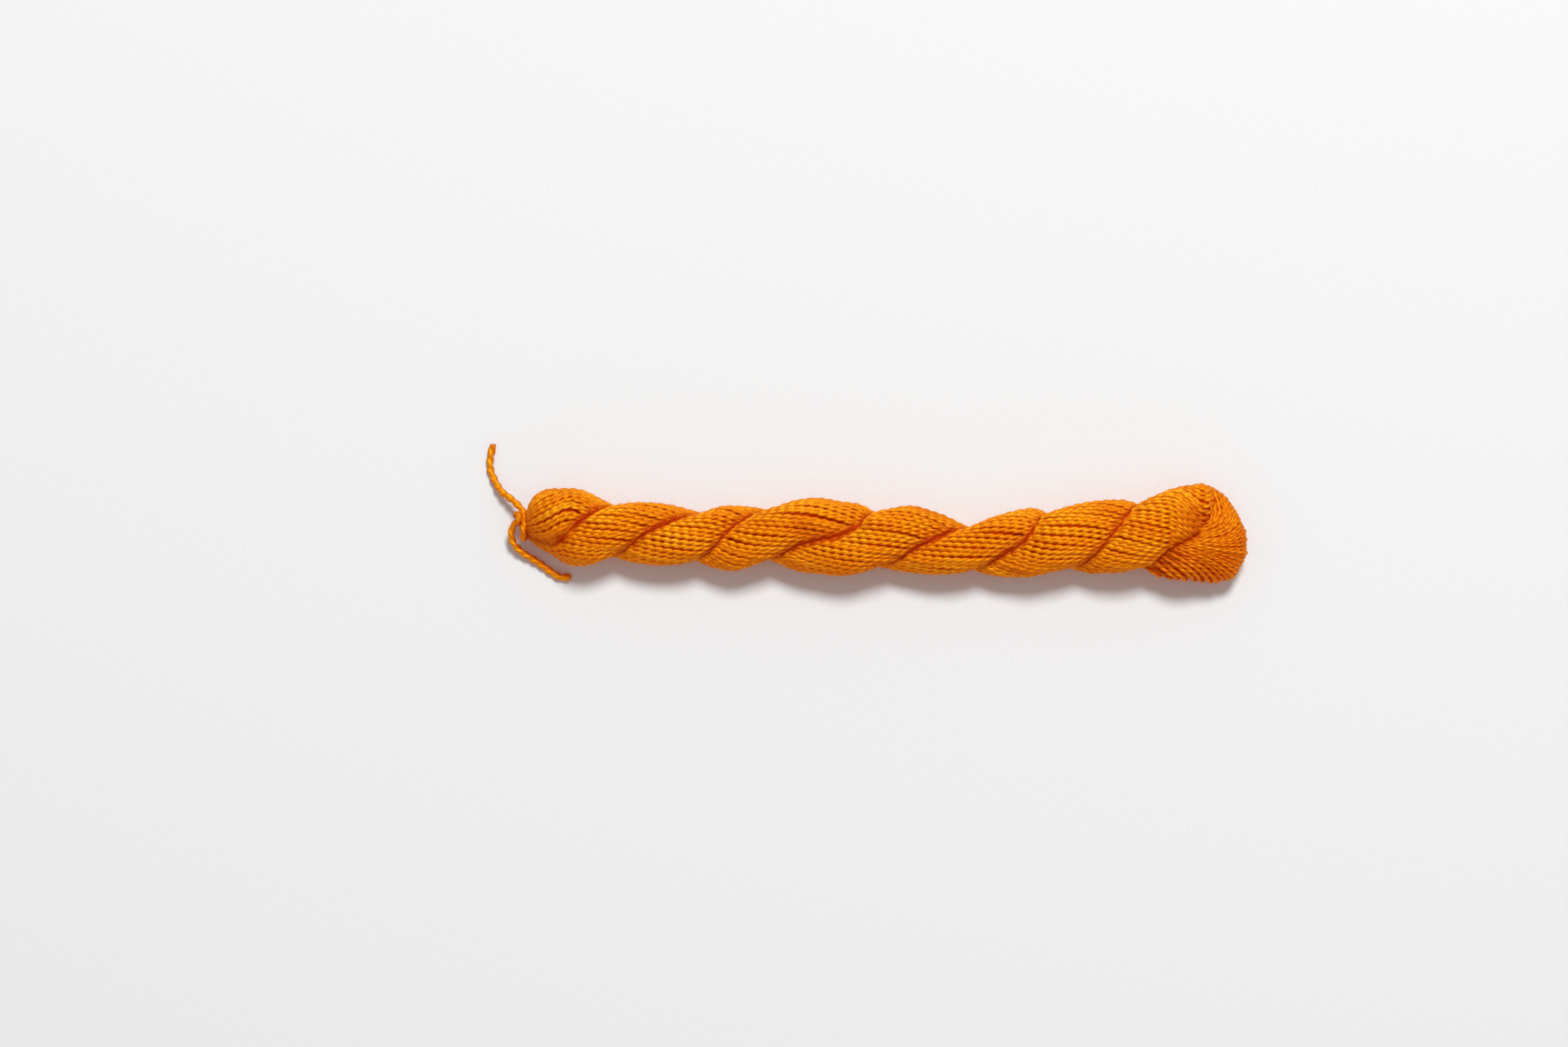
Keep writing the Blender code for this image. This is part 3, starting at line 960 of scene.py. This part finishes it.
def silk(name):
    """Dyed silk: warm orange with a golden gloss and fine fibres along each ply, painted shade in the
    creases, between the threads and as a dark stroke along each ply's crest, and a faint painted glow."""
    look = Finish(name)
    uv = look.node("ShaderNodeUVMap", {"uv_map": "thread"})
    place = look.node("ShaderNodeTexCoord", output=3)
    drift = look.noise(place, 90.0, 3.0, 0.6)
    along = look.node("ShaderNodeMapping", Vector=uv, Scale=(0.8, 40.0, 1.0))
    fibre = look.noise(along, 1.0, 4.0, 0.7)
    level = look.attribute("tone") * 0.30 + drift * 0.80 + fibre * 0.35 - 0.28
    orange = look.ramp(
        level,
        (0.0, (0.57, 0.155, 0.0006)),
        (0.45, (0.70, 0.265, 0.0010)),
        (1.0, (0.78, 0.430, 0.0120)),
    )
    # Painted shade: darker where a thread's surface turns sideways and inward, towards its neighbours.
    side = look.spread(look.attribute("facing"), 0.72, -0.15, 0.0, 0.80)
    turned = look.node("ShaderNodeSeparateXYZ", output=1, Vector=uv)
    # Painted shade: a dark stroke meant for the grooves between plies, which falls along each ply's crest.
    stroke = look.spread(turned.math("PINGPONG", 0.25), 0.0, 0.085, 0.60, 0.0)
    shaded = look.mix(stroke, look.mix(side, orange, (0.27, 0.013, 0.0003)), (0.42, 0.045, 0.0006))
    # Painted shade: deep red where the depth attribute is high, in the creases, near the tie, at SHADED_SPOTS
    # and on the fold; the roughness rises there too.
    hollow = look.spread(look.attribute("depth"), 0.05, 1.0, 0.0, 1.0)
    bump = look.node("ShaderNodeBump", Strength=0.5, Distance=0.00005, Height=fibre)
    look.set(Base_Color=look.mix(hollow, shaded, (0.40, 0.030, 0.0004)), Metallic=0.55, Normal=bump)
    look.set(Roughness=0.48 + fibre * 0.10 + hollow * 0.2)
    look.set(Specular_IOR_Level=0.32, Specular_Tint=(1.0, 0.75, 0.30))
    look.set(Sheen_Weight=0.05, Sheen_Roughness=0.4, Sheen_Tint=(1.0, 0.50, 0.10))
    # Painted glow: the silk gives off a faint orange light of its own, deep red in the creases, which also
    # warms the shade on the table.
    look.set(Emission_Color=look.mix(hollow, (1.0, 0.09, 0.0), (0.40, 0.015, 0.0)), Emission_Strength=0.16)
    return look.material


def core_silk():
    """The silk deep between the threads, painted dark red as shade, dull, and with a faint painted glow."""
    look = Finish("core_silk")
    place = look.node("ShaderNodeTexCoord", output=3)
    drift = look.noise(place, 600.0, 2.0)
    look.set(Base_Color=look.ramp(drift, (0.3, (0.32, 0.016, 0.0002)), (0.7, (0.45, 0.028, 0.0003))))
    look.set(Roughness=0.8, Specular_IOR_Level=0.0, Emission_Color=(1.0, 0.05, 0.0), Emission_Strength=0.06)
    return look.material


def fibre_silk():
    """The pale single fibres."""
    look = Finish("fibre_silk")
    place = look.node("ShaderNodeTexCoord", output=3)
    drift = look.noise(place, 200.0, 1.0)
    look.set(Base_Color=look.ramp(drift, (0.3, (0.84, 0.24, 0.01)), (0.7, (0.95, 0.38, 0.05))))
    look.set(Roughness=0.6)
    return look.material


def floor_and_light():
    """A plain pale table, a soft key light from the top of the picture, and an even pale surround."""
    corners = [(-3.0, -3.0, 0.0), (3.0, -3.0, 0.0), (3.0, 3.0, 0.0), (-3.0, 3.0, 0.0)]
    mesh = bpy.data.meshes.new("table")
    mesh.from_pydata(corners, [], [(0, 1, 2, 3)])
    look = Finish("pale_table")
    place = look.node("ShaderNodeTexCoord", output=3)
    grain = look.noise(place, 900.0, 2.0)
    look.set(Base_Color=look.ramp(grain, (0.3, (0.735, 0.74, 0.745)), (0.7, (0.755, 0.76, 0.765))))
    look.set(Roughness=0.9, Specular_IOR_Level=0.1)
    new_piece("table", mesh, look.material)
    lamp = bpy.data.lights.new("key", "AREA")
    lamp.shape = "DISK"
    lamp.size = 0.72
    lamp.energy = 62.7
    lamp.color = (0.943, 0.984, 1.0)
    key = bpy.data.objects.new("key", lamp)
    key.location = (0.35, 1.35, 2.20)
    key.rotation_euler = (-key.location).to_track_quat("-Z", "Y").to_euler()
    bpy.context.scene.collection.objects.link(key)
    world = bpy.data.worlds.new("surround")
    world.use_nodes = True
    surround = world.node_tree.nodes["Background"].inputs
    surround["Color"].default_value = (1.0, 0.92, 0.87, 1.0)
    surround["Strength"].default_value = 0.454
    bpy.context.scene.world = world
    bpy.context.scene.view_settings.view_transform = "Standard"


def aim_camera():
    """The camera straight above the table, at the photograph's scale and place."""
    data = bpy.data.cameras.new("camera")
    data.sensor_width = SENSOR_WIDTH
    data.lens = SENSOR_WIDTH * (CAMERA_HEIGHT - FRAME_HEIGHT) / FRAME_WIDTH
    data.clip_end = 10.0
    camera = bpy.data.objects.new("camera", data)
    camera.location = placed((*FRAME_MIDDLE, CAMERA_HEIGHT))
    bpy.context.scene.collection.objects.link(camera)
    bpy.context.scene.camera = camera


def steady_across(line):
    """A direction across the line at each of its points, up at its start and carried along it unturned."""
    current = np.array([0.0, 0.0, 1.0])
    found = []
    for tangent in unit(np.gradient(line, axis=0)):
        current = current - tangent * current.dot(tangent)
        current = current / np.linalg.norm(current)
        found.append(current)
    return np.array(found)


def place_tie():
    """The tie as one two-ply thread, tip to tip, standing in for the tie's own parts, which it hides."""
    line = route((*TIE_UPPER, *TIE_KNOT, *TIE_LOWER), TIE_STEP)
    across = steady_across(line)
    run = run_of(line)
    row = np.arange(len(line))
    upper_end, lower_start = len(route(TIE_UPPER, TIE_STEP)), len(line) - len(route(TIE_LOWER, TIE_STEP))
    in_knot = np.clip(np.minimum(row - upper_end, lower_start - row) / 6.0, 0, 1)
    radius = TIE_DIAMETER / (2 * THREAD_RADIUS) * TIE_FULLNESS * (1 - 0.06 * in_knot)
    splay = 0.72 + 0.45 * np.exp(-np.minimum(run, run[-1] - run) / 0.9)
    line[:, 2] = np.maximum(line[:, 2], (PLY_OFFSET * splay + PLY_RADIUS) * radius + 0.02)
    mesh = ThreadMesh()
    # Painted shade: the tie is darker in the knot, through its depth.
    mesh.add(line, across, run, 0.4, 0.6, 0.05 + 0.2 * in_knot, radius, splay, TIE_PITCH)
    tie = mesh.build("tie_thread", silk("tie_silk"))
    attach(tie, "root")
    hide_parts("tie_knot", "tie_end_upper", "tie_end_lower")


def dress_hank(piece):
    """Lets a piece of the hank's looks stand in for its solid."""
    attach(piece, "root")
    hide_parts("hank")


def main():
    aim_camera()
    place_tie()
    material = silk("hank_silk")
    dress_hank(core(core_silk()))
    at = np.concatenate([np.arange(SECTIONS[0][0], -101.0, END_STEP), np.arange(-101.0, 99.0, STATION_STEP),
                         np.arange(99.0, SECTIONS[-1][0], END_STEP)])
    even, odd = creases(at)
    leg_threads("leg_a_threads", Leg(at, odd, even + 360.0, LEG_A_SLOPE, folds_over=True), 11, material)
    leg_threads("leg_b_threads", Leg(at, even, odd, LEG_B_SLOPE, folds_over=False), 23, material)
    fold_threads(5, material)
    dress_hank(loose_fibres(31, fibre_silk()))
    floor_and_light()


main()
